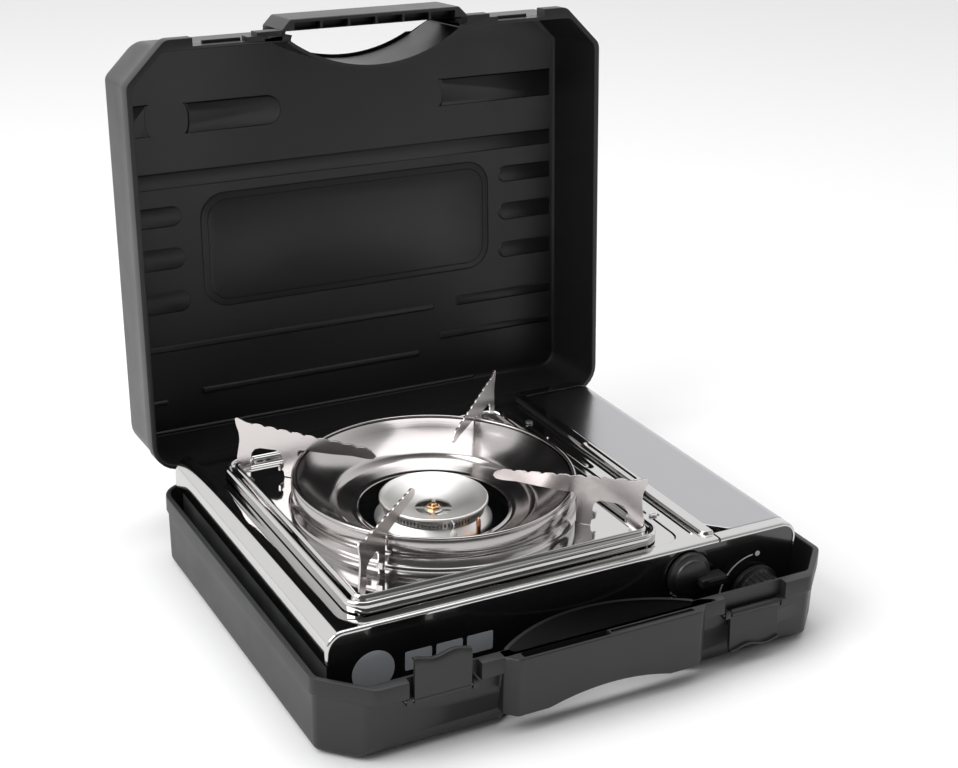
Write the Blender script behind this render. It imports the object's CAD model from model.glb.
import math

import bpy
from mathutils import Matrix, Vector


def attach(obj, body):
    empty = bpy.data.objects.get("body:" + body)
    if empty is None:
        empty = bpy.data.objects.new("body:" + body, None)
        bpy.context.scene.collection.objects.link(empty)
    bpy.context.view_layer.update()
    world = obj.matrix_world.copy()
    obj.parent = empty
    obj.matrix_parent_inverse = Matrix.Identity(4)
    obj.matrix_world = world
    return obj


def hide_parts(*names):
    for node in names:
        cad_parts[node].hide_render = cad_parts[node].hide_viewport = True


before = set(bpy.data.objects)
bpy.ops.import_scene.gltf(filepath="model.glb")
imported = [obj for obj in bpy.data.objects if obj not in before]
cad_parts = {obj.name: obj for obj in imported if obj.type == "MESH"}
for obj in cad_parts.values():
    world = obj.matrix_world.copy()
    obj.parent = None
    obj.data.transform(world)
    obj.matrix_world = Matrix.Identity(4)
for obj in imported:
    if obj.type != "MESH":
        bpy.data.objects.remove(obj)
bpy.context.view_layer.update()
MM = 0.001

# ---------------------------------------------------------------- dimensions, in millimetres
HALF_W, HALF_D, CHAMFER = 186.0, 154.0, 29.0
SPLIT, LID_TOP, FLOOR_UNDER = 53.0, 114.0, 1.5
WALL, FRONT_IN, SIDE_IN, BAND = 2.4, 5.7, 1.5, 11.5
WALL_Y = -HALF_D + FRONT_IN
BAR_Y, GRIP_X, GRIP_FLAT = -161.0, 66.0, -151.0
GRIP_BELLY, GRIP_R = -124.6, 112.5
PIVOT_Y, PIVOT_Z, LID_ANGLE = 160.5, 53.0, 94.0
LATCH_X, LATCH_PIN = 113.5, (-151.6, 39.5)
X0, X1, Y0, Y1 = -175.0, 167.0, -120.6, 146.0
DECK, NOSE = 77.0, 12.0
NOSE_X0, NOSE_X1, NOSE_Z = X0 + NOSE, X1 - NOSE, DECK - NOSE
COVER = (104.9, -112.8, 136.4)
BURNER = (-42.5, 1.0)
RING_R, RING_Z, HOLE_R = 93.7, 102.2, 50.8
TRAY_HALF = 111.0
HEAD = 75.7
KNOB = (134.5, 32.0)
LEVER = (80.0, 57.0)


# ---------------------------------------------------------------- mesh tools
class Shape:
    """Vertices and faces in millimetres, gathered before they become one object."""

    def __init__(self):
        self.verts, self.faces = [], []

    def add(self, verts, faces):
        n = len(self.verts)
        self.verts += [tuple(v) for v in verts]
        self.faces += [tuple(n + i for i in f) for f in faces]
        return self

    def loft(self, rings, caps=(True, True), closed=False):
        """Skins rings of equal length; caps closes the first and last."""
        n = len(rings[0])
        verts = [v for ring in rings for v in ring]
        faces = []
        last = len(rings) if closed else len(rings) - 1
        for i in range(last):
            a, b = i * n, ((i + 1) % len(rings)) * n
            faces += [(a + j, a + (j + 1) % n, b + (j + 1) % n, b + j) for j in range(n)]
        if not closed and caps[0]:
            faces.append(tuple(reversed(range(n))))
        if not closed and caps[1]:
            faces.append(tuple((len(rings) - 1) * n + j for j in range(n)))
        return self.add(verts, faces)

    def prism(self, outline, z0, z1, ease=0.0):
        """Straight prism; ease rounds off its top and bottom edges a little."""
        if ease <= 0:
            return self.loft([at_z(outline, z0), at_z(outline, z1)])
        small = inset(outline, ease)
        return self.loft([at_z(small, z0), at_z(outline, z0 + ease),
                          at_z(outline, z1 - ease), at_z(small, z1)])

    def box(self, lo, hi):
        (a, b, c), (d, e, f) = lo, hi
        return self.prism([(a, b), (d, b), (d, e), (a, e)], c, f)

    def lathe(self, profile, centre=(0, 0), steps=96, closed=True):
        """Turns a profile of (radius, z) about an upright axis."""
        rings = []
        for k in range(steps):
            a = 2 * math.pi * k / steps
            rings.append([(centre[0] + r * math.cos(a), centre[1] + r * math.sin(a), z)
                          for r, z in profile])
        n = len(profile)
        verts = [v for ring in rings for v in ring]
        faces = []
        for k in range(steps):
            a, b = k * n, ((k + 1) % steps) * n
            for j in range(n if closed else n - 1):
                i = (j + 1) % n
                faces.append((a + j, b + j, b + i, a + i))
        return self.add(verts, faces)

    def moved(self, matrix):
        self.verts = [tuple(matrix @ Vector(v)) for v in self.verts]
        return self


def at_z(outline, z):
    return [(x, y, z) for x, y in outline]


def inset(outline, d):
    """The outline moved inward by d along each corner's bisector (counter-clockwise outlines)."""
    out, n = [], len(outline)
    for i, p in enumerate(outline):
        a, b = outline[i - 1], outline[(i + 1) % n]
        u = Vector((p[0] - a[0], p[1] - a[1])).normalized()
        v = Vector((b[0] - p[0], b[1] - p[1])).normalized()
        m = Vector((-(u.y + v.y), u.x + v.x))
        scale = d / max(0.3, 0.5 * m.length) if m.length > 1e-6 else 0
        m = m.normalized() * scale if m.length > 1e-6 else m
        out.append((p[0] + m.x, p[1] + m.y))
    return out


def rounded(points, radii, steps=6):
    """A polygon with rounded corners, each drawn with the same number of points."""
    out, n = [], len(points)
    if not isinstance(radii, (list, tuple)):
        radii = [radii] * n
    for i, (p, r) in enumerate(zip(points, radii)):
        b, a, c = Vector(p), Vector(points[i - 1]), Vector(points[(i + 1) % n])
        u, v = (a - b).normalized(), (c - b).normalized()
        angle = u.angle(v)
        reach = r / math.tan(angle / 2)
        mid = b + (u + v).normalized() * (r / math.sin(angle / 2))
        s, e = b + u * reach - mid, b + v * reach - mid
        a0, turn = math.atan2(s.y, s.x), s.angle_signed(e)
        for k in range(steps + 1):
            t = a0 - turn * k / steps
            out.append((mid.x + r * math.cos(t), mid.y + r * math.sin(t)))
    return out


def disc(x, y, r, steps=48):
    return [(x + r * math.cos(2 * math.pi * k / steps), y + r * math.sin(2 * math.pi * k / steps))
            for k in range(steps)]


def rect(x0, y0, x1, y1, r=0.0, steps=6):
    pts = [(x0, y0), (x1, y0), (x1, y1), (x0, y1)]
    return rounded(pts, r, steps) if r > 0 else pts


def round_off(h, r):
    """How far a quarter-round edge of radius r stands back at height h above its end."""
    return r - math.sqrt(max(0.0, r * r - (r - h) ** 2)) if h < r else 0.0


# upright shapes are drawn flat and stood up: (x, z) drawn, thickness along Y
STAND = Matrix(((1, 0, 0, 0), (0, 0, -1, 0), (0, 1, 0, 0), (0, 0, 0, 1)))


def standing(shape, y):
    """Stands a flat drawing up so its height runs up Z; its own z runs forward from y."""
    return shape.moved(Matrix.Translation((0, y, 0)) @ STAND)


def new_object(name, shape):
    mesh = bpy.data.meshes.new(name)
    mesh.from_pydata([tuple(c * MM for c in v) for v in shape.verts], [], shape.faces)
    mesh.validate()
    obj = bpy.data.objects.new(name, mesh)
    bpy.context.collection.objects.link(obj)
    return obj


def fix_normals(obj):
    bpy.context.view_layer.objects.active = obj
    for o in bpy.context.selected_objects:
        o.select_set(False)
    obj.select_set(True)
    bpy.ops.object.mode_set(mode="EDIT")
    bpy.ops.mesh.select_all(action="SELECT")
    bpy.ops.mesh.normals_make_consistent(inside=False)
    bpy.ops.object.mode_set(mode="OBJECT")
    obj.select_set(False)


def combine(obj, shape, operation):
    """Adds shape to obj, or cuts it away, as a true boolean."""
    tool = new_object("tool", shape)
    fix_normals(tool)
    step = obj.modifiers.new("combine", "BOOLEAN")
    step.operation, step.object, step.solver = operation, tool, "EXACT"
    result = bpy.data.meshes.new_from_object(obj.evaluated_get(bpy.context.evaluated_depsgraph_get()))
    obj.modifiers.clear()
    obj.data = result
    bpy.data.objects.remove(tool)


def soften(obj, width, segments=2, angle=32):
    """Small rounded edges all over, with the flats kept flat."""
    edge = obj.modifiers.new("edges", "BEVEL")
    edge.width, edge.segments = width * MM, segments
    edge.limit_method, edge.angle_limit = "ANGLE", math.radians(angle)
    edge.harden_normals = True
    edge.use_clamp_overlap = True
    edge.miter_outer = "MITER_ARC"


def smooth(obj, angle=35):
    obj.data.polygons.foreach_set("use_smooth", [True] * len(obj.data.polygons))
    obj.data.set_sharp_from_angle(angle=math.radians(angle))


def piece(name, source, material, body, stands_for=(), bevel=0.0, angle=35):
    """Finishes one visible piece: smooth shading, material, and where it rides."""
    obj = new_object(name, source) if isinstance(source, Shape) else source
    obj.name = name
    fix_normals(obj)
    smooth(obj, angle)
    if bevel:
        soften(obj, bevel)
    obj.data.materials.clear()
    obj.data.materials.append(material)
    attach(obj, body)
    if stands_for:
        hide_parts(*stands_for)
    return obj


# ---------------------------------------------------------------- materials
def new_material(name, color, roughness, metallic=0.0):
    material = bpy.data.materials.new(name)
    material.use_nodes = True
    shader = material.node_tree.nodes["Principled BSDF"]
    shader.inputs["Base Color"].default_value = (*color, 1)
    shader.inputs["Roughness"].default_value = roughness
    shader.inputs["Metallic"].default_value = metallic
    return material


def noise(material, scale, detail=3.0, stretch=(1, 1, 1)):
    """Noise in the piece's own space, stretched along an axis for drawn or brushed metal."""
    tree = material.node_tree
    coords = tree.nodes.new("ShaderNodeTexCoord")
    mapping = tree.nodes.new("ShaderNodeMapping")
    mapping.inputs["Scale"].default_value = stretch
    tex = tree.nodes.new("ShaderNodeTexNoise")
    tex.inputs["Scale"].default_value = scale
    tex.inputs["Detail"].default_value = detail
    tree.links.new(coords.outputs["Object"], mapping.inputs["Vector"])
    tree.links.new(mapping.outputs["Vector"], tex.inputs["Vector"])
    return tex.outputs["Fac"]


def bump(material, height, strength, distance):
    tree = material.node_tree
    node = tree.nodes.new("ShaderNodeBump")
    node.inputs["Strength"].default_value = strength
    node.inputs["Distance"].default_value = distance
    tree.links.new(height, node.inputs["Height"])
    shader = tree.nodes["Principled BSDF"]
    if shader.inputs["Normal"].is_linked:
        tree.links.new(shader.inputs["Normal"].links[0].from_socket, node.inputs["Normal"])
    tree.links.new(node.outputs["Normal"], shader.inputs["Normal"])


def vary(material, socket, height, low, high):
    """Lets a shader input follow a noise between two values."""
    tree = material.node_tree
    node = tree.nodes.new("ShaderNodeMapRange")
    node.inputs["To Min"].default_value = low
    node.inputs["To Max"].default_value = high
    tree.links.new(height, node.inputs["Value"])
    tree.links.new(node.outputs["Result"], tree.nodes["Principled BSDF"].inputs[socket])


def tint(material, height, low, high):
    """Lets the base colour follow a noise between two colours."""
    tree = material.node_tree
    node = tree.nodes.new("ShaderNodeMix")
    node.data_type = "RGBA"
    node.inputs["A"].default_value = (*low, 1)
    node.inputs["B"].default_value = (*high, 1)
    tree.links.new(height, node.inputs["Factor"])
    tree.links.new(node.outputs["Result"], tree.nodes["Principled BSDF"].inputs["Base Color"])


def plastic(name, color, roughness, grain=0.35):
    m = new_material(name, color, roughness)
    cloud = noise(m, 35, 4)
    vary(m, "Roughness", cloud, roughness - 0.05, roughness + 0.07)
    tint(m, noise(m, 12, 3), tuple(c * 0.88 for c in color), tuple(c * 1.12 for c in color))
    bump(m, noise(m, 2600, 2), grain, 0.00004)
    return m


def metal(name, color, roughness, spread=0.05, stretch=(1, 1, 1), grain=0.25, scale=900, wave=0.0):
    m = new_material(name, color, roughness, 1.0)
    vary(m, "Roughness", noise(m, 40, 5), max(0.02, roughness - spread), roughness + spread)
    bump(m, noise(m, scale, 3, stretch), grain, 0.00002)
    if wave:
        bump(m, noise(m, 14, 1), wave, 0.0004)
    tint(m, noise(m, 20, 3), tuple(c * 0.95 for c in color), tuple(min(1, c * 1.03) for c in color))
    return m


def turned(name, color, roughness, centre, pitch=1500, grain=0.4):
    """Metal turned on a lathe: fine rings about an upright axis."""
    m = new_material(name, color, roughness, 1.0)
    tree = m.node_tree
    coords = tree.nodes.new("ShaderNodeTexCoord")
    shift = tree.nodes.new("ShaderNodeVectorMath")
    shift.operation = "SUBTRACT"
    shift.inputs[1].default_value = (centre[0] * MM, centre[1] * MM, 0)
    flat = tree.nodes.new("ShaderNodeVectorMath")
    flat.operation = "MULTIPLY"
    flat.inputs[1].default_value = (1, 1, 0)
    length = tree.nodes.new("ShaderNodeVectorMath")
    length.operation = "LENGTH"
    tex = tree.nodes.new("ShaderNodeTexNoise")
    tex.noise_dimensions = "1D"
    tex.inputs["Scale"].default_value = pitch
    tree.links.new(coords.outputs["Object"], shift.inputs[0])
    tree.links.new(shift.outputs[0], flat.inputs[0])
    tree.links.new(flat.outputs[0], length.inputs[0])
    tree.links.new(length.outputs["Value"], tex.inputs["W"])
    bump(m, tex.outputs["Fac"], grain, 0.00003)
    vary(m, "Roughness", noise(m, 60, 4), roughness - 0.05, roughness + 0.06)
    return m


BLACK_CASE = plastic("black_case", (0.013, 0.013, 0.0142), 0.44)
BLACK_LID = plastic("black_lid", (0.009, 0.0088, 0.0095), 0.4)
BLACK_KNOB = plastic("black_knob", (0.012, 0.012, 0.013), 0.33)
PANEL = plastic("black_enamel", (0.0085, 0.0085, 0.009), 0.14, 0.05)
PANEL.node_tree.nodes["Principled BSDF"].inputs["Coat Weight"].default_value = 0.6
POLISHED = metal("polished_steel", (0.55, 0.545, 0.54), 0.07, 0.02, (1, 1, 1), 0.05, 700, 0.10)
COVER_STEEL = metal("cover_steel", (0.40, 0.40, 0.412), 0.2, 0.03, (1, 30, 1), 0.25, 500)
BOWL_STEEL = turned("drawn_steel", (0.42, 0.40, 0.395), 0.16, BURNER, 900, 0.35)
SUPPORT_STEEL = metal("support_steel", (0.60, 0.565, 0.56), 0.24, 0.05, (1, 1, 8), 0.35, 500)
SHEET_STEEL = metal("galvanised", (0.52, 0.53, 0.54), 0.42, 0.1, (1, 1, 1), 0.5, 300)
PIN_STEEL = metal("pin_steel", (0.62, 0.62, 0.64), 0.3)
BURNER_ALLOY = turned("burner_alloy", (0.86, 0.85, 0.83), 0.42, BURNER, 1600, 0.5)
BRASS = metal("brass", (0.80, 0.50, 0.26), 0.26, 0.06)
COPPER = metal("copper", (0.75, 0.40, 0.24), 0.3, 0.06)
VALVE = metal("valve_casting", (0.58, 0.56, 0.52), 0.5, 0.08, (1, 1, 1), 0.6, 500)
CERAMIC = plastic("glazed_ceramic", (0.80, 0.79, 0.74), 0.16, 0.1)
IGNITER = plastic("igniter_plastic", (0.55, 0.54, 0.5), 0.35)
RUBBER = plastic("foot_rubber", (0.018, 0.018, 0.018), 0.7, 0.8)
SLEEVE = plastic("silicone_sleeve", (0.30, 0.03, 0.025), 0.5, 0.4)
PRINT = plastic("silver_print", (0.50, 0.53, 0.56), 0.4, 0.1)
WHITE_PRINT = plastic("white_print", (0.72, 0.72, 0.72), 0.45, 0.1)


# ---------------------------------------------------------------- the two case halves
def case_plan(side, front, corner=9.0, rear=21.0, steps=7):
    """Plan of the case, moved in by side and front."""
    k = HALF_W + HALF_D - CHAMFER - side * math.sqrt(2)
    hw, fy, ry = HALF_W - side, -HALF_D + front, HALF_D - side
    pts = [(-hw, hw - k), (-k - fy, fy), (k + fy, fy), (hw, hw - k), (hw, ry), (-hw, ry)]
    c = max(0.6, corner - side * 0.4)
    return rounded(pts, [c, c, c, c, rear - 1.6 * side, rear - 1.6 * side], steps)


def shell_rings(end, step_z, split, up):
    """Rings of one half: outside from its closed end to the split, then down the inside."""
    rings = []
    for h in (0, 0.25, 0.8, 1.6, 2.6, 4, 5.6, 7.4, 9.2, 11, 20, 30):
        draft = 1.1 * (1 - h / 44)
        rings.append((end + up * h, SIDE_IN + draft + round_off(h, 3.5),
                      FRONT_IN + draft + round_off(h, 10)))
    rings += [(step_z - up * 0.5, SIDE_IN, FRONT_IN), (step_z, SIDE_IN - 0.1, FRONT_IN - 0.1),
              (step_z + up * 0.1, 0.5, 0.5), (step_z + up * 0.6, 0, 0),
              (split - up * 0.7, 0, 0), (split - up * 0.2, 0.2, 0.2), (split, 0.7, 0.7)]
    inner_s, inner_f = SIDE_IN + WALL, FRONT_IN + WALL
    rings += [(split, inner_s - 0.6, inner_f - 0.6), (split - up * 0.5, inner_s, inner_f),
              (end + up * (WALL + 5), inner_s + 0.6, inner_f + 0.6),
              (end + up * (WALL + 1.2), inner_s + 1.6, inner_f + 1.8),
              (end + up * WALL, inner_s + 3.6, inner_f + 4.5)]
    return [at_z(case_plan(s, f), z) for z, s, f in rings]


def grip_plan(grow, steps=28):
    """The finger hole of the handle: flat in front, bowed to the rear."""
    r = GRIP_R + grow
    cy = GRIP_BELLY - GRIP_R
    flat = GRIP_FLAT - grow
    reach = min(GRIP_X + grow, math.sqrt(r * r - (flat - cy) ** 2))
    lift = cy + math.sqrt(r * r - reach * reach)
    a0 = math.atan2(lift - cy, reach)
    arc = [(r * math.cos(a0 + (math.pi - 2 * a0) * k / steps),
            cy + r * math.sin(a0 + (math.pi - 2 * a0) * k / steps)) for k in range(steps + 1)]
    c = 3.5
    left = [(-reach, flat + c), (-reach + c * 0.3, flat + c * 0.3), (-reach + c, flat)]
    right = [(reach - c, flat), (reach - c * 0.3, flat + c * 0.3), (reach, flat + c)]
    return left + right + arc


def bar_plan(grow=0.0):
    g = GRIP_X + grow
    return rounded([(-g - 7, -HALF_D), (-g, BAR_Y - grow), (g, BAR_Y - grow), (g + 7, -HALF_D),
                    (g + 7, WALL_Y + 2), (-g - 7, WALL_Y + 2)],
                   [2, 3, 3, 2, 0.5, 0.5], 4)


def recess(a, b, z0, z1, deep):
    """Boxes that take the band away on both sides, between a and b from the middle."""
    cut = Shape()
    for s in (-1, 1):
        cut.box((min(s * a, s * b), -HALF_D - 2, z0), (max(s * a, s * b), deep, z1))
    return cut


def build_base():
    obj = new_object("case_base_shell",
                     Shape().loft(shell_rings(FLOOR_UNDER, SPLIT - BAND, SPLIT, 1)))
    fix_normals(obj)
    bar = Shape().loft([at_z(inset(bar_plan(), 1.2), 13.0), at_z(inset(bar_plan(), 0.35), 13.6),
                        at_z(bar_plan(), 14.6), at_z(bar_plan(), SPLIT - 0.6),
                        at_z(inset(bar_plan(), 0.6), SPLIT)])
    combine(obj, bar, "UNION")
    combine(obj, Shape().prism(grip_plan(WALL), FLOOR_UNDER, SPLIT - 0.05), "UNION")
    combine(obj, Shape().prism(grip_plan(0), -5, SPLIT + 5), "DIFFERENCE")
    combine(obj, recess(88, 136, SPLIT - BAND - 0.5, SPLIT + 5, WALL_Y + 0.02), "DIFFERENCE")
    # left half of the bar is an open channel, the right half only a shallow one
    combine(obj, Shape().prism(rect(-62, -158.7, -0.5, -153.4, 1.2), SPLIT - 9, SPLIT + 2), "DIFFERENCE")
    combine(obj, Shape().prism(rect(0.5, -157.6, 62, -154.4, 1.0), SPLIT - 1.4, SPLIT + 2), "DIFFERENCE")
    hollow = Shape()
    arc = [(-75.0, -30.0)] + [(x, 20.0 - 160 + math.sqrt(160 ** 2 - x * x))
                              for x in [-75 + 5 * k for k in range(31)]] + [(75.0, -30.0)]
    standing(hollow.prism(arc, 0, 20), GRIP_FLAT - 0.01)
    combine(obj, hollow, "DIFFERENCE")
    extra = Shape()
    for s in (-1, 1):
        for e in (LATCH_X - 24, LATCH_X + 20):
            a, b = sorted((s * e, s * (e + 4)))
            lug = Shape().prism(rect(LATCH_PIN[0] - 2.5, 36.6, WALL_Y + 1, 41.9, 1.0), a, b)
            lug.verts = [(z, x, y) for x, y, z in lug.verts]
            extra.add(lug.verts, lug.faces)
        for e in (-14, 6):
            a, b = s * 110 + e, s * 110 + e + 8
            knuckle = Shape().prism(disc(PIVOT_Y, PIVOT_Z, 4.9, 28), a, b)
            arm = Shape().prism(rect(HALF_D - 2.5, 46.2, PIVOT_Y, 52.4, 0.5), a, b)
            for part in (knuckle, arm):
                part.verts = [(z, x, y) for x, y, z in part.verts]
                extra.add(part.verts, part.faces)
    feet = Shape()
    for x, y, r in ((-172, -100, 6), (172, -100, 6), (-172, 95, 6), (172, 95, 6), (0, 0, 9)):
        feet.loft([at_z(disc(x, y, r - 0.6), 0.0), at_z(disc(x, y, r), 0.5), at_z(disc(x, y, r), 2.0)])
    extra.add(feet.verts, feet.faces)
    piece("case_base_shell", obj, BLACK_CASE, "base", ["case_base"], 0.45)
    piece("case_base_lugs", extra, BLACK_CASE, "base", [], 0.3)


OPEN_LID = (Matrix.Translation((0, PIVOT_Y, PIVOT_Z))
            @ Matrix.Rotation(math.radians(-LID_ANGLE), 4, "X")
            @ Matrix.Translation((0, -PIVOT_Y, -PIVOT_Z)))


def stadium(x0, x1, v0, v1, left="round", right="round", steps=10):
    """A pressed pad of the lid panel; v runs from the hinge edge. An end is round, hollow or cut."""
    y0, y1 = HALF_D - v1, HALF_D - v0
    r, mid = (y1 - y0) / 2, (y0 + y1) / 2
    out = []
    if right == "round":
        out += [(x1 - r + r * math.cos(a), mid + r * math.sin(a))
                for a in [math.pi * (k / steps - 0.5) for k in range(steps + 1)]]
    elif right == "hollow":
        out += [(x1 - 0.32 * r * math.cos(a), mid + r * math.sin(a))
                for a in [math.pi * (k / steps - 0.5) for k in range(steps + 1)]]
    else:
        out += [(x1, y0), (x1, y1)]
    if left == "round":
        out += [(x0 + r - r * math.cos(a), mid - r * math.sin(a))
                for a in [math.pi * (k / steps - 0.5) for k in range(steps + 1)]]
    elif left == "hollow":
        out += [(x0 + 0.32 * r * math.cos(a), mid - r * math.sin(a))
                for a in [math.pi * (k / steps - 0.5) for k in range(steps + 1)]]
    else:
        out += [(x0, y1), (x0, y0)]
    return out


def raised(shape, outline, ceiling, high, slope):
    """A pad standing down from the lid panel with sloping sides."""
    shape.loft([at_z(outline, ceiling + 0.3), at_z(outline, ceiling - high * 0.15),
                at_z(inset(outline, slope * 0.5), ceiling - high * 0.75),
                at_z(inset(outline, slope), ceiling - high)])


def build_lid():
    obj = new_object("case_lid_shell",
                     Shape().loft(shell_rings(LID_TOP, SPLIT + BAND, SPLIT, -1)))
    fix_normals(obj)
    bar = Shape().loft([at_z(inset(bar_plan(), 0.5), SPLIT), at_z(bar_plan(), SPLIT + 0.6),
                        at_z(bar_plan(), LID_TOP - 26), at_z(inset(bar_plan(), 2.5), LID_TOP - 22)])
    combine(obj, bar, "UNION")
    combine(obj, Shape().prism(grip_plan(WALL), SPLIT + 0.05, LID_TOP), "UNION")
    combine(obj, Shape().prism(grip_plan(0), SPLIT - 5, LID_TOP + 5), "DIFFERENCE")
    combine(obj, recess(98, 137.5, SPLIT - 3, SPLIT + BAND + 0.4, WALL_Y + 0.02), "DIFFERENCE")
    combine(obj, recess(91, 98.4, SPLIT - 3, SPLIT + BAND + 0.4, -HALF_D + 2.6), "DIFFERENCE")
    cells = Shape()
    for i in range(6):
        a = -63 + i * 21.2
        cells.prism(rect(a, -158.6, a + 19.6, -153.3, 1.0), SPLIT - 2, SPLIT + 8.5)
    combine(obj, cells, "DIFFERENCE")
    obj.data.transform(Matrix.Scale(1000, 4))
    obj.data.transform(OPEN_LID)
    obj.data.transform(Matrix.Scale(MM, 4))
    piece("case_lid_shell", obj, BLACK_LID, "lid", ["case_lid"], 0.45)

    top = LID_TOP - WALL
    pads = Shape()
    for args in ((-128, -53, 232, 254, "hollow", "round"), (-176, -153, 232, 255, "cut", "hollow"),
                 (77, 176, 232, 253, "hollow", "cut"),
                 (-176, -134, 165, 180, "cut", "round"), (-176, -133, 133, 149, "cut", "round"),
                 (-176, -131, 100, 116, "cut", "round"),
                 (129, 176, 166, 179, "round", "cut"), (129, 176, 135, 149, "round", "cut"),
                 (129, 176, 104, 117, "round", "cut")):
        raised(pads, stadium(*args), top, 1.1, 1.0)
    raised(pads, rect(-176, HALF_D - 205, 176, HALF_D - 193), top, 0.9, 1.2)
    raised(pads, rect(-120, HALF_D - 186, 120, HALF_D - 99, 19, 10), top, 0.9, 1.2)
    well = Shape()
    for v0, v1, a, b in ((70, 75, -176, 70), (33, 38, -126, 56), (6, 9, -176, 105),
                         (29, 33, -176, -154), (44, 50, 74, 176), (70, 78, 90, 176)):
        raised(pads, rect(a, HALF_D - v1, b, HALF_D - v0), top, 1.4, 1.3)
    pads.moved(OPEN_LID)
    piece("case_lid_pads", pads, BLACK_LID, "lid", [], 0.0)
    # the inner face of the finger-framing rectangle is pressed back again
    raised(well, rect(-115, HALF_D - 181, 115, HALF_D - 104, 15, 10), top - 0.7, 0.8, 1.0)
    well.moved(OPEN_LID)
    piece("case_lid_field", well, BLACK_LID, "lid", [], 0.0)

    extra = Shape()
    for s in (-1, 1):
        knuckle = Shape().prism(disc(PIVOT_Y, PIVOT_Z, 4.9, 28), s * 110 - 5.4, s * 110 + 5.4)
        arm = Shape().prism(rect(HALF_D - 2.5, 53.8, PIVOT_Y, 59.8, 0.5), s * 110 - 5.4, s * 110 + 5.4)
        catch = Shape().prism(rect(WALL_Y - 2.2, SPLIT + 9.4, WALL_Y + 1, SPLIT + 12, 0.6),
                              s * LATCH_X - 14, s * LATCH_X + 14)
        for part in (knuckle, arm, catch):
            part.verts = [(z, x, y) for x, y, z in part.verts]
            extra.add(part.verts, part.faces)
    extra.moved(OPEN_LID)
    piece("case_lid_hinges", extra, BLACK_LID, "lid", [], 0.3)


def latch_shape(s):
    """A latch standing up; its upper lip is wavy and hooks to the rear."""
    shape = Shape()
    y, z = LATCH_PIN
    half, n = 19.0, 26
    rows = []
    section = [(-2.3, 0.0), (-2.3, 8.0), (-2.3, 16.0), (-2.25, 24.0), (-1.9, 26.6), (-1.0, 28.0),
               (0.4, 28.2), (2.2, 27.6), (2.2, 26.0), (0.6, 26.4), (0.3, 25.2), (0.3, 16.0),
               (0.3, 8.0), (0.3, 0.0)]
    for k in range(n + 1):
        t = k / n
        wave = 1.3 * math.cos(2 * math.pi * t / 0.72) - 1.5
        x = s * LATCH_X - half + 2 * half * t
        rows.append([(x, y + dy, z + dz + wave * min(1, max(0, (dz - 15) / 10)))
                     for dy, dz in section])
    shape.loft(rows)
    barrel = Shape().prism(disc(y, z, 2.6, 24), s * LATCH_X - half, s * LATCH_X + half, 0.4)
    barrel.verts = [(c, a, b) for a, b, c in barrel.verts]
    return shape.add(barrel.verts, barrel.faces)


def build_latches():
    piece("latch_left_plate", latch_shape(-1), BLACK_CASE, "latch_l", ["latch_left"], 0.3)
    hung = latch_shape(1).moved(Matrix.Translation((0, *LATCH_PIN))
                                @ Matrix.Rotation(math.radians(176), 4, "X")
                                @ Matrix.Translation((0, -LATCH_PIN[0], -LATCH_PIN[1])))
    piece("latch_right_plate", hung, BLACK_CASE, "latch_r", ["latch_right"], 0.3)


# ---------------------------------------------------------------- stove casing
def smoothstep(t):
    t = min(1.0, max(0.0, t))
    return t * t * (3 - 2 * t)


def plateau(x, y, x0, y0, x1, y1, r, edge):
    """1 inside a rounded rectangle, 0 outside, with an edge of the given width."""
    dx = max(x0 + r - x, 0, x - (x1 - r))
    dy = max(y0 + r - y, 0, y - (y1 - r))
    inside = min(x - x0, x1 - x, y - y0, y1 - y)
    d = r - math.hypot(dx, dy) if dx > 0 and dy > 0 else inside
    return smoothstep(d / edge)


def deck_height(x, y):
    """Pressed features of the top casing above its flat level."""
    h = 2.5 * plateau(x, y, 95.0, -115.5, 118, 138, 5, 1.6)
    h += 0.9 * plateau(x, y, 90.2, -109.5, 92.8, 122, 1.3, 1.1)
    h -= 0.7 * plateau(x, y, 98.2, -28, 101.8, 37, 1.8, 1.0)
    h -= 0.7 * plateau(x, y, 80.8, 6, 87.6, 64, 3.3, 1.2)
    h -= 0.6 * plateau(x, y, -160, -112.8, 81.5, 120, 11, 1.3)
    for y0 in (-75, 92):
        h -= 0.5 * plateau(x, y, 79.2, y0 - 4.3, 87.8, y0 + 4.3, 4.2, 1.2)
    return h


def nose_points(x, side, steps=12):
    """Quarter round from the flat top to the upright side, with the normals."""
    out = []
    for k in range(steps + 1):
        a = math.pi / 2 * k / steps
        n = (side * math.sin(a), math.cos(a))
        out.append(((x + NOSE * n[0], NOSE_Z + NOSE * n[1]), n))
    return out


def steps_between(a, b, size):
    n = max(1, round(abs(b - a) / size))
    return [a + (b - a) * k / n for k in range(n + 1)]


def casing_strip(shape, path, ys, front_lip=False, rear_lip=False, height=None, thick=0.8):
    """Sheet metal along a section path of ((x, z), normal), over the given depths."""
    rings = []
    if front_lip:
        for turn, drop in ((90, 2.1), (90, 1.3), (70, 0.9), (45, 0.45), (20, 0.1)):
            a = math.radians(turn)
            rings.append((ys[0] - 1.5 * math.sin(a), drop + 0.15))
    rings += [(y, 0.0) for y in ys]
    if rear_lip:
        rings += [(ys[-1] + 0.6, 0.3), (ys[-1] + 0.7, 1.4)]
    rows = []
    for y, drop in rings:
        row = []
        for (x, z), n in path:
            h = height(x, y) if height and n[1] > 0.99 else 0.0
            row.append((x - n[0] * drop, y, z + h * max(0.0, 1 - drop) - n[1] * drop))
        rows.append(row)
    m = len(path)
    verts = [v for row in rows for v in row]
    faces = [(i * m + j, i * m + j + 1, (i + 1) * m + j + 1, (i + 1) * m + j)
             for i in range(len(rows) - 1) for j in range(m - 1)]
    shape.add(verts, faces)


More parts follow.
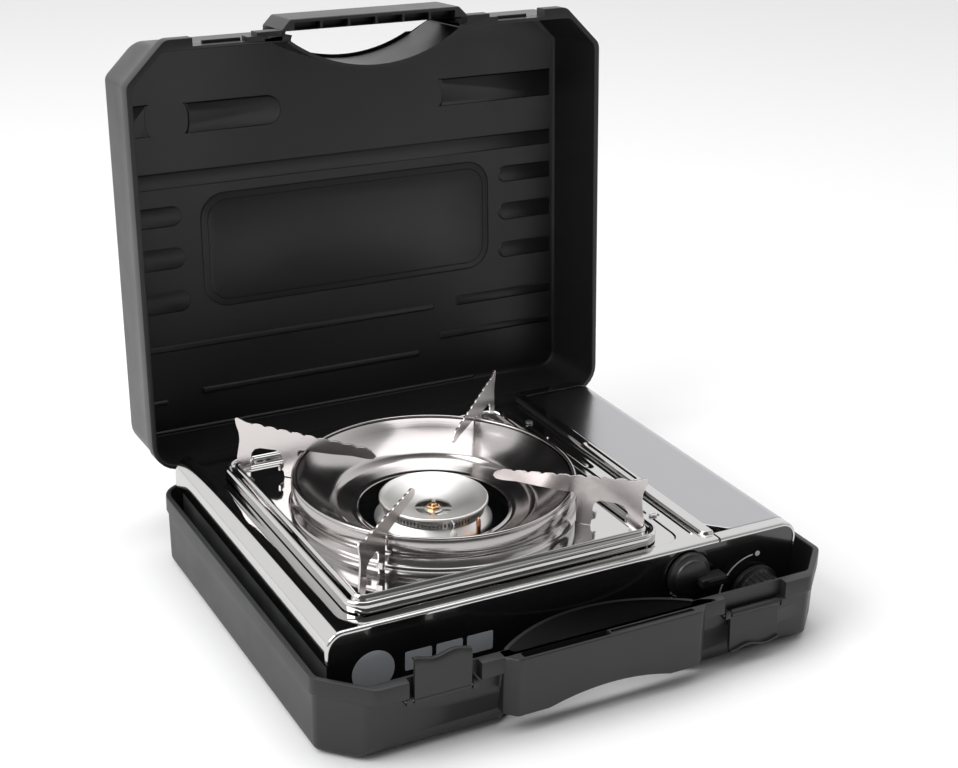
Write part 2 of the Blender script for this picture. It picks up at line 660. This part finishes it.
def build_casing():
    left = [((X0, z), (-1, 0)) for z in (56, 60, NOSE_Z - 1)]
    left += list(reversed(nose_points(NOSE_X0, -1)))
    tray_edge = [((x, DECK), (0, 1)) for x in steps_between(NOSE_X0 + 1, 68, 1.4)]
    platform = [((x, DECK), (0, 1)) for x in steps_between(68.6, 103.4, 0.5)]
    ys = steps_between(Y0, -106, 0.7) + steps_between(-105, 140, 1.6)[1:] + steps_between(140.5, Y1, 1.4)

    def height(x, y):
        return deck_height(x, y)

    main = Shape()
    casing_strip(main, left + tray_edge + platform, ys, True, True, height)
    # folded edge beside the cartridge cover, following the platform's height
    rows = []
    for y in ys:
        h = deck_height(103.4, y)
        rows.append([(103.4, y, DECK + h), (103.9, y, DECK + h - 0.12), (104.25, y, DECK + h - 0.6),
                     (104.3, y, DECK - 5)])
    verts = [v for row in rows for v in row]
    faces = [(i * 4 + j, i * 4 + j + 1, i * 4 + j + 5, i * 4 + j + 4)
             for i in range(len(rows) - 1) for j in range(3)]
    main.add(verts, faces)
    obj = new_object("top_casing_sheet", main)
    hole = Shape().prism(disc(*BURNER, RING_R - 8, 96), DECK - 5, DECK + 5)
    combine_sheet(obj, hole)
    thicken(obj, 0.8)
    piece("top_casing_sheet", obj, POLISHED, "stove", ["top_casing"], 0.0, 40)

    right = list(nose_points(NOSE_X1, 1)) + [((X1, z), (1, 0)) for z in (NOSE_Z - 4, 57)]
    front = Shape()
    flat = [((x, DECK), (0, 1)) for x in steps_between(105.2, NOSE_X1 - 1, 3)]
    casing_strip(front, flat + right, steps_between(Y0, COVER[1] - 0.9, 1.0), True, False)
    rear = Shape()
    casing_strip(rear, flat + right, steps_between(COVER[2] + 0.9, Y1, 1.2), False, True)
    for name, shape in (("top_casing_front", front), ("top_casing_rear", rear)):
        obj = new_object(name, shape)
        thicken(obj, 0.8)
        piece(name, obj, POLISHED, "stove", [], 0.0, 40)


def thicken(obj, t):
    fix_normals(obj)
    solid = obj.modifiers.new("sheet", "SOLIDIFY")
    solid.thickness, solid.offset = t * MM, -1
    result = bpy.data.meshes.new_from_object(obj.evaluated_get(bpy.context.evaluated_depsgraph_get()))
    obj.modifiers.clear()
    obj.data = result


def combine_sheet(obj, shape):
    """Leaves out the faces of an open sheet whose middle lies inside a round hole."""
    xs = [v[0] for v in shape.verts]
    cx, r = (min(xs) + max(xs)) / 2, (max(xs) - min(xs)) / 2
    mesh = obj.data
    doomed = {p.index for p in mesh.polygons
              if math.hypot(p.center.x / MM - cx, p.center.y / MM - BURNER[1]) < r
              and p.center.z / MM > DECK - 3}
    keep = [tuple(p.vertices) for p in mesh.polygons if p.index not in doomed]
    verts = [tuple(v.co) for v in mesh.vertices]
    fresh = bpy.data.meshes.new(mesh.name)
    fresh.from_pydata(verts, [], keep)
    obj.data = fresh


def build_cover():
    x0, y0, y1 = COVER
    right = list(nose_points(NOSE_X1, 1))
    shape = Shape()

    def left_edge(y):
        return x0 + max(0.0, 14 - (y - y0))

    ys = [y0, y0 + 0.6] + steps_between(y0 + 1.2, y0 + 14, 1.6) + steps_between(y0 + 16, y1 - 0.7, 6) + [y1]
    n = 26
    rows = []
    for y in ys:
        a = left_edge(y)
        end = 0.5 if y in (y0, y1) else 0.0
        row = [(a + 0.0, y, DECK - 2.6), (a + 0.0, y, DECK - 0.9 - end), (a + 0.25, y, DECK - 0.25 - end),
               (a + 0.9, y, DECK - end)]
        row += [(a + 0.9 + (NOSE_X1 - a - 0.9) * k / n, y, DECK - end) for k in range(1, n)]
        row += [(x - nrm[0] * end, y, z - nrm[1] * end) for (x, z), nrm in right]
        rows.append(row)
    m = len(rows[0])
    verts = [v for row in rows for v in row]
    faces = [(i * m + j, i * m + j + 1, (i + 1) * m + j + 1, (i + 1) * m + j)
             for i in range(len(rows) - 1) for j in range(m - 1)]
    shape.add(verts, faces)
    obj = new_object("cartridge_cover_sheet", shape)
    thicken(obj, 0.8)
    cheeks = Shape()
    for y in (y0, y1 - 1.2):
        outline = [(NOSE_X1 + 0.2, 58)] + [(NOSE_X1 + 11.0 * math.cos(a), NOSE_Z + 11.0 * math.sin(a))
                                           for a in [math.radians(d) for d in range(-38, 91, 8)]]
        cheeks.add(*flat_plate(outline, y, y + 1.1))
    piece("cartridge_cover_sheet", obj, COVER_STEEL, "cover", ["cartridge_cover"], 0.0, 40)
    piece("cartridge_cover_cheeks", cheeks, COVER_STEEL, "cover", [], 0.0)


def flat_plate(outline, y0, y1):
    """An upright plate drawn in (x, z), between two depths."""
    plate = standing(Shape().prism(outline, 0, y1 - y0), y1)
    return plate.verts, plate.faces


def ring_plate(shape, outer, inner, y0, y1):
    """An upright plate between two outlines of equal length."""
    part = Shape().loft([at_z(inner, 0), at_z(outer, 0), at_z(outer, y1 - y0), at_z(inner, y1 - y0)],
                        closed=True)
    standing(part, y1)
    shape.add(part.verts, part.faces)


def panel_outline(grow=0.0, steps=12):
    pts = [(X0 - grow, 9.0), (X1 + grow, 9.0), (X1 + grow, DECK + grow), (X0 - grow, DECK + grow)]
    return rounded(pts, [1.0, 1.0, NOSE + grow, NOSE + grow], steps)


def build_panel():
    panel = Shape()
    panel.add(*flat_plate(panel_outline(-0.9), -121.5, -120.3))
    obj = new_object("front_panel_plate", panel)
    fix_normals(obj)
    for (x, z), r in ((KNOB, 5.0), (LEVER, 3.4)):
        combine(obj, Shape().add(*flat_plate(disc(x, z, r, 40), -123, -119)), "DIFFERENCE")
    piece("front_panel_plate", obj, PANEL, "stove", ["front_panel"], 0.35)
    ring = Shape()
    ring_plate(ring, disc(*LEVER, 18.2), disc(*LEVER, 17.0), -122.0, -121.4)
    piece("lever_ring", ring, PANEL, "stove", [], 0.2)

    marks = Shape()
    marks.add(*flat_plate(disc(-144, 44.5, 14.0, 56), -121.62, -121.4))
    for k in range(3):
        marks.add(*flat_plate(rect(-123 + k * 21, 39, -105 + k * 21, 52, 1.2), -121.62, -121.4))
    piece("panel_marks", marks, PRINT, "stove", ["panel_badge"], 0.0)
    scale = Shape()
    outer, inner = [], []
    for k in range(29):
        a = math.radians(196 - 102 * k / 28)
        wide = 0.75 - 0.35 * k / 28
        outer.append((KNOB[0] + (26.7 + wide) * math.cos(a), KNOB[1] + (26.7 + wide) * math.sin(a)))
        inner.append((KNOB[0] + (26.7 - wide) * math.cos(a), KNOB[1] + (26.7 - wide) * math.sin(a)))
    scale.add(*flat_plate(outer + inner[::-1], -121.62, -121.4))
    scale.add(*flat_plate(disc(136.5, 58.6, 1.9, 28), -121.62, -121.4))
    for k, w in enumerate((3.4, 2.6, 1.8)):
        z = 45.5 - 3.2 * k
        scale.add(*flat_plate(rect(71.5 - w, z - 1.1, 71.5 + w, z + 1.1, 0.3), -121.62, -121.4))
    piece("panel_scale", scale, WHITE_PRINT, "stove", [], 0.0)


def build_controls():
    knob = Shape()
    x, z = KNOB
    knob.lathe([(0.01, -122.4), (18.6, -122.4), (19.0, -122.9), (18.7, -125.6), (16.2, -126.6),
                (15.4, -127.4), (14.9, -137.2), (14.2, -138.0), (0.01, -138.0)][::-1], (0, 0), 72, True)
    knob.verts = [(x + a, c, z - b) for a, b, c in knob.verts]
    for k in range(24):
        a = 2 * math.pi * k / 24
        u, v = math.cos(a), math.sin(a)
        rib = [(x + r * u - w * v, z + r * v + w * u)
               for r, w in ((15.0, 0.8), (15.0, -0.8), (16.0, -0.5), (16.0, 0.5))]
        knob.add(*flat_plate(rib, -137.0, -126.8))
    knob.add(*flat_plate(rect(x - 2.2, z - 12, x + 2.2, z + 14, 1.6), -140.3, -137.8))
    piece("gas_knob", knob, BLACK_KNOB, "knob", ["control_knob"], 0.25)
    pointer = Shape()
    pointer.add(*flat_plate(rect(x - 0.6, z + 4, x + 0.6, z + 13, 0.3), -140.42, -140.2))
    piece("knob_pointer", pointer, WHITE_PRINT, "knob", [])

    lever = Shape()
    x, z = LEVER
    lever.lathe([(0.01, -122.1), (15.6, -122.1), (16.0, -122.6), (15.6, -125.4), (14.4, -126.0),
                 (12.4, -126.4), (11.8, -128.0), (10.8, -128.5), (0.01, -128.5)][::-1], (0, 0), 64, True)
    lever.verts = [(x + a, c, z - b) for a, b, c in lever.verts]
    lever.add(*flat_plate(rect(x + 4, z - 6.5, x + 23.8, z - 0.6, 1.2), -134.0, -124.0))
    lever.add(*flat_plate(rect(x + 9, z - 5.4, x + 22.4, z - 1.6, 0.8), -134.6, -133.8))
    piece("lever_disc", lever, BLACK_KNOB, "lever", ["lock_lever"], 0.3)


# ---------------------------------------------------------------- trivet
def square_ring(half, r, z, steps=14):
    cx, cy = BURNER
    return at_z(rect(cx - half, cy - half, cx + half, cy + half, max(r, 0.5), steps), z)


def build_tray():
    r = 14.0
    outer = [(0.0, 77.4), (0.05, 79.5), (0.15, 82.4), (0.7, 83.8), (1.7, 84.3), (2.7, 83.8), (3.4, 82.4),
             (3.8, 81.2), (4.8, 80.7), (5.8, 81.4), (6.3, 83.6), (7.0, 85.2), (7.9, 85.8), (8.8, 85.3),
             (9.5, 83.6), (10.1, 81.6), (11.2, 80.9), (13.0, 80.75)]
    rings = [square_ring(TRAY_HALF - d, r - d, z) for d, z in outer]
    last = rings[-1]
    cx, cy = BURNER
    n = len(last)
    # the floor runs from the square to the round ring seat
    for t in (0.01, 0.03, 0.3, 0.6, 0.9, 0.97, 1.0):
        ring = []
        for x, y, z in last:
            a = math.atan2(y - cy, x - cx)
            to_x, to_y = cx + (RING_R - 2.5) * math.cos(a), cy + (RING_R - 2.5) * math.sin(a)
            ring.append((x + (to_x - x) * t, y + (to_y - y) * t, z))
        rings.append(ring)
    shape = Shape().loft(rings, (False, False))
    obj = new_object("drip_tray_sheet", shape)
    thicken(obj, 0.6)
    piece("drip_tray_sheet", obj, POLISHED, "trivet", ["drip_tray"], 0.0, 50)


def build_ring_and_bowl():
    ring = Shape()
    rolled = [(RING_R + 0.15 + 1.25 * math.cos(a), RING_Z - 1.28 + 1.25 * math.sin(a))
              for a in [math.radians(d) for d in range(-70, 251, 20)]]
    r, z = RING_R, RING_Z
    wall_out = [(r + 3.5, 81.3), (r + 2.2, 81.7), (r + 1.5, 82.8), (r, 86.0), (r - 0.1, z - 14.5),
                (r + 0.3, z - 13.0), (r + 1.2, z - 11.8), (r + 1.6, z - 10.4), (r + 1.6, z - 2.8),
                (r + 1.1, z - 2.0)]
    wall_in = [(r - 0.8, z - 2.6), (r + 0.6, z - 3.4), (r + 0.7, z - 10.0), (r - 0.4, z - 12.0),
               (r - 1.0, z - 14.0), (r - 0.9, 86.0), (r + 0.8, 82.0), (r + 1.6, 80.9), (r + 3.5, 80.6)]
    ring.lathe(wall_out + rolled + wall_in, BURNER, 144)
    piece("wind_ring_wall", ring, BOWL_STEEL, "trivet", ["wind_ring"], 0.0, 60)
    bowl = Shape()
    upper = [(r - 2.4, z - 1.6), (r - 4.5, z - 3.2), (r - 7.5, z - 6.0), (83.1, 93.4), (79.0, 90.2),
             (74.0, 87.2), (70.5, 85.3), (68.6, 84.4), (67.4, 83.2), (66.0, 81.2), (64.0, 80.1),
             (60.0, 78.5), (56.0, 76.9), (HOLE_R + 2.8, 76.0), (HOLE_R + 1.4, 76.3),
             (HOLE_R + 0.4, 77.2)]
    lower = [(HOLE_R - 0.1, 76.8), (HOLE_R + 0.8, 75.5), (HOLE_R + 2.6, 75.2), (56.3, 76.1),
             (60.3, 77.7), (64.4, 79.3), (66.7, 80.5), (68.1, 82.6), (69.2, 83.7), (71.0, 84.6),
             (74.4, 86.5), (79.4, 89.5), (83.6, 92.7), (r - 7.0, z - 6.7), (r - 4.1, z - 3.9),
             (r - 2.1, z - 2.3)]
    bowl.lathe(upper + lower, BURNER, 144)
    piece("burner_bowl_sheet", bowl, BOWL_STEEL, "trivet", ["burner_bowl"], 0.0, 60)


def support_outline():
    """Side view of a pan support: reach from the burner axis, and height."""
    top = [(41.0, 106.5), (42.0, 108.6), (44.6, 110.4)]
    teeth = []
    s = 46.0
    while s < 126:
        base = 110.8 + (s - 46) * 0.073
        teeth += [(s, base), (s + 1.6, base + 1.0), (s + 4.2, base + 1.35), (s + 7.2, base + 1.1),
                  (s + 8.6, base + 0.35)]
        s += 9.6
    tail = [(132.0, 117.2), (136.5, 117.8), (140.6, 119.5), (143.0, 120.1), (144.3, 119.0),
            (143.6, 115.0), (141.6, 109.0), (141.2, 103.6), (142.2, 96.8), (143.4, 90.6),
            (142.9, 86.6), (141.5, 84.8), (141.5, 81.2), (133.4, 81.2)]
    arch = [(133.4, 85.0), (130.8, 86.4), (130.8, 90.6), (132.6, 92.0), (132.2, 95.0), (129.8, 98.2),
            (126.0, 99.6), (114.5, 100.0), (110.6, 98.2), (109.2, 95.0), (109.0, 92.0),
            (111.2, 90.6), (111.2, 86.4), (108.6, 85.0), (108.0, 81.2)]
    foot = [(100.0, 81.2), (98.4, 82.6), (98.0, 90.0), (98.0, 100.8), (96.6, 102.8), (88.0, 102.9),
            (72.0, 103.4), (58.0, 104.4), (47.0, 103.8), (43.0, 104.4)]
    return top + teeth + tail + arch + foot


def build_supports():
    for name, turn in (("fl", 225), ("fr", 315), ("rl", 135), ("rr", 45)):
        plate = Shape().prism(support_outline(), -0.6, 0.6)
        plate.verts = [(x, z, y) for x, y, z in plate.verts]
        # bent foot beside the outer leg
        for a, b in ((109.6, 111.2), (130.8, 132.4)):
            plate.box((a, -0.6, 86.4), (b, 3.6, 90.6))
        plate.moved(Matrix.Translation((*BURNER, 0)) @ Matrix.Rotation(math.radians(turn), 4, "Z"))
        piece("pan_support_plate_" + name, plate, SUPPORT_STEEL, "trivet", ["pan_support_" + name],
              0.18)


# ---------------------------------------------------------------- burner head
def build_burner():
    h, (cx, cy) = HEAD, BURNER
    base = Shape()
    base.lathe([(11, h - 35), (15, h - 35), (15, h - 15.7), (20, h - 13.6), (30, h - 9.2),
                (38.6, h - 7.7), (39.7, h - 7.3), (40, h - 6.6), (39.8, h - 5.7), (38.6, h - 4.4),
                (35.6, h - 1.4), (34.2, h - 0.1), (30, h - 0.1), (30, h - 2.5), (12.5, h - 12),
                (11, h - 14)][::-1], BURNER, 96)
    piece("burner_base_casting", base, BURNER_ALLOY, "stove", ["burner_base"], 0.0, 40)
    teeth = Shape()
    teeth.lathe([(31, h), (34.2, h), (34.2, h + 1.6), (31, h + 1.6)][::-1], BURNER, 96)
    teeth.lathe([(31, h + 4.6), (34.2, h + 4.6), (34.2, h + 5.6), (31, h + 5.6)][::-1], BURNER, 96)
    count = 84
    for k in range(count):
        a0, a1 = 2 * math.pi * k / count, 2 * math.pi * (k + 0.5) / count
        outline = [(cx + r * math.cos(a), cy + r * math.sin(a))
                   for r, a in ((31.1, a0), (34.1, a0), (34.1, a1), (31.1, a1))]
        teeth.prism(outline, h + 1.5, h + 4.7)
    piece("burner_port_ring", teeth, BURNER_ALLOY, "stove", ["burner_ring"], 0.0, 40)
    cap = Shape()
    cap.lathe([(12.4, h - 1.3), (20.5, h + 1.6), (29.6, h + 5.6), (35.2, h + 5.6), (36.4, h + 6.1),
               (36.8, h + 6.9), (36.8, h + 8.3), (36.5, h + 8.8), (35.9, h + 9), (35.2, h + 8.7),
               (34.2, h + 7.9), (31.5, h + 6.8), (26, h + 4.5), (20, h + 2.2), (14, h + 0.3),
               (12.5, h)][::-1], BURNER, 128)
    for k in range(4):
        a = math.radians(62.6 + 90 * k)
        u, v = math.cos(a), math.sin(a)
        outline = [(cx + r * u - w * v, cy + r * v + w * u)
                   for r, w in ((3.6, -1.3), (13.2, -1.3), (13.2, 1.3), (3.6, 1.3))]
        cap.loft([at_z(outline, h - 2.2), at_z(outline, h - 0.7)])
    cap.lathe([(3.0, h - 2.5), (6.2, h - 2.5), (6.2, h - 1.2), (5.8, h - 1), (3.0, h - 1)][::-1],
              BURNER, 48)
    piece("burner_cap_disc", cap, BURNER_ALLOY, "stove", ["burner_cap"], 0.0, 40)
    nut = Shape()
    hexagon = [(cx + 4.55 * math.cos(math.pi / 3 * k), cy + 4.55 * math.sin(math.pi / 3 * k))
               for k in range(6)]
    nut.loft([at_z(hexagon, h - 1), at_z(hexagon, h + 1.1), at_z(inset(hexagon, 0.7), h + 1.6)])
    nut.loft([at_z(disc(cx, cy, 2.0, 24), h + 1.4), at_z(disc(cx, cy, 2.0, 24), h + 2.7),
              at_z(disc(cx, cy, 1.5, 24), h + 3.1)])
    nut.loft([at_z(disc(cx, cy, 2.8, 24), h - 9), at_z(disc(cx, cy, 2.8, 24), h - 0.9)])
    piece("burner_nut_brass", nut, BRASS, "stove", ["burner_nut"], 0.15)

    spark = Shape()
    spark.lathe([(0.01, 62), (2.2, 62), (2.2, 78.8), (1.9, 79.6), (1.2, 81), (0.01, 81)][::-1],
                (-50.2, -43.6), 32)
    piece("electrode_body", spark, CERAMIC, "stove", ["electrode"], 0.0, 40)
    probe = Shape()
    probe.lathe([(0.01, 60), (1.6, 60), (1.6, 64.9), (2.6, 65), (2.6, 67), (1.6, 67.1), (1.6, 81),
                 (1.1, 83.6), (0.01, 84)][::-1], (-30, -39.7), 32)
    piece("flame_sensor_probe", probe, COPPER, "stove", ["flame_sensor"], 0.0, 40)


# ---------------------------------------------------------------- pieces kept from the CAD
def dress_cad():
    """Gives every CAD part that still shows its material and small rounded edges."""
    looks = {
        PIN_STEEL: ("hinge_pin_left", "hinge_pin_right", "latch_pin_left", "latch_pin_right",
                    "cover_hinge_pins", "lock_shaft", "electrode_tip", "platform_screws"),
        SHEET_STEEL: ("chassis", "partition", "cartridge_cradle", "cartridge_spring", "heat_plate",
                      "electrode_bracket", "burner_bracket", "lock_slide", "mixing_tube"),
        BRASS: ("knob_stem", "injector"),
        VALVE: ("valve_body", "lock_cam"),
        RUBBER: ("rubber_feet",),
        SLEEVE: ("ignition_wire",),
        IGNITER: ("piezo_igniter",),
        COPPER: ("gas_pipe",),
    }
    for material, names in looks.items():
        for name in names:
            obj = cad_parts[name]
            obj.data.materials.clear()
            obj.data.materials.append(material)


# ---------------------------------------------------------------- floor, light and camera
def build_stage():
    size = 6000
    floor = new_object("floor", Shape().add(
        [(-size, -size, -0.05), (size, -size, -0.05), (size, size, -0.05), (-size, size, -0.05)],
        [(0, 1, 2, 3)]))
    floor.data.materials.append(new_material("floor_white", (0.9, 0.9, 0.9), 0.9))


def area_light(name, place, target, size, power, color=(1, 1, 1)):
    light = bpy.data.lights.new(name, "AREA")
    light.shape, light.size, light.size_y = "RECTANGLE", size[0], size[1]
    light.energy, light.color = power, color
    obj = bpy.data.objects.new(name, light)
    obj.location = place
    obj.rotation_euler = (Vector(target) - Vector(place)).to_track_quat("-Z", "Y").to_euler()
    bpy.context.collection.objects.link(obj)


def build_light():
    world = bpy.data.worlds.new("studio")
    bpy.context.scene.world = world
    bpy.context.scene.view_settings.view_transform = "Standard"
    world.use_nodes = True
    tree = world.node_tree
    tree.nodes["Background"].inputs["Color"].default_value = (1, 1, 1, 1)
    coords = tree.nodes.new("ShaderNodeTexCoord")
    toward = tree.nodes.new("ShaderNodeVectorMath")
    toward.operation = "DOT_PRODUCT"
    toward.inputs[1].default_value = (-0.1, -0.98, 0.12)
    fade = tree.nodes.new("ShaderNodeMapRange")
    fade.interpolation_type = "SMOOTHSTEP"
    fade.inputs["From Min"].default_value = -0.15
    fade.inputs["From Max"].default_value = 0.75
    fade.inputs["To Min"].default_value = 1.15
    fade.inputs["To Max"].default_value = 0.12
    tree.links.new(coords.outputs["Generated"], toward.inputs[0])
    tree.links.new(toward.outputs["Value"], fade.inputs["Value"])
    tree.links.new(fade.outputs["Result"], tree.nodes["Background"].inputs["Strength"])
    area_light("key", (-1.6, -0.2, 1.5), (0, 0, 0.1), (1.4, 1.4), 26)
    area_light("top", (0.1, 0.2, 2.2), (0, 0, 0), (1.6, 1.6), 14)
    area_light("fill", (1.5, -1.2, 0.9), (0, 0, 0.1), (1.2, 1.0), 2)


def build_camera():
    camera = bpy.data.cameras.new("camera")
    camera.sensor_width, camera.lens = 36, 64.5
    camera.shift_x, camera.shift_y = 0.0382, -0.0425
    camera.clip_end = 100
    obj = bpy.data.objects.new("camera", camera)
    right, up, back = (0.8901, -0.4554, 0.0151), (0.154, 0.3318, 0.9307), (-0.4289, -0.8261, 0.3655)
    turn = Matrix((right, up, back)).transposed().to_quaternion()
    obj.rotation_mode = "QUATERNION"
    obj.rotation_quaternion = turn
    obj.location = (-0.5159, -0.9201, 0.6008)
    bpy.context.collection.objects.link(obj)
    bpy.context.scene.camera = obj


build_base()
build_lid()
build_latches()
build_casing()
build_cover()
build_panel()
build_controls()
build_tray()
build_ring_and_bowl()
build_supports()
build_burner()
dress_cad()
build_stage()
build_light()
build_camera()
